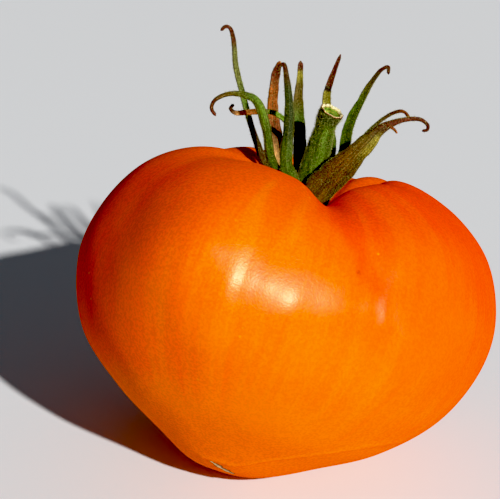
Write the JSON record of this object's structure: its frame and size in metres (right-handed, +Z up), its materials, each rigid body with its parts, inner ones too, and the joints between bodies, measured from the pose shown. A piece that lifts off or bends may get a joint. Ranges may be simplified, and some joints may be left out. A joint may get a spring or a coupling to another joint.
{
  "type": "orange oxheart tomato",
  "caption": "Heart-shaped orange tomato with lobed shoulders, its curled green calyx and a cut stalk, lying on its low side.",
  "frame": {"origin": "middle of the bounding box's underside, on the surface that the fruit lies on", "axes": "+Z up, -Y towards the blossom tip's side, +X towards the right shoulder, to which the stem end leans"},
  "size_m": [0.0954, 0.0838, 0.095],
  "materials": {
    "skin": "ripe tomato skin, waxy satin sheen",
    "sepals": "dull hairy green leaf, brown and dry at the tips",
    "stalk": "dull hairy green stem with a pale cut end"
  },
  "bodies": {
    "root": {"fruit": "skin", "calyx": "sepals", "stalk": "stalk"}
  },
  "joints": []
}
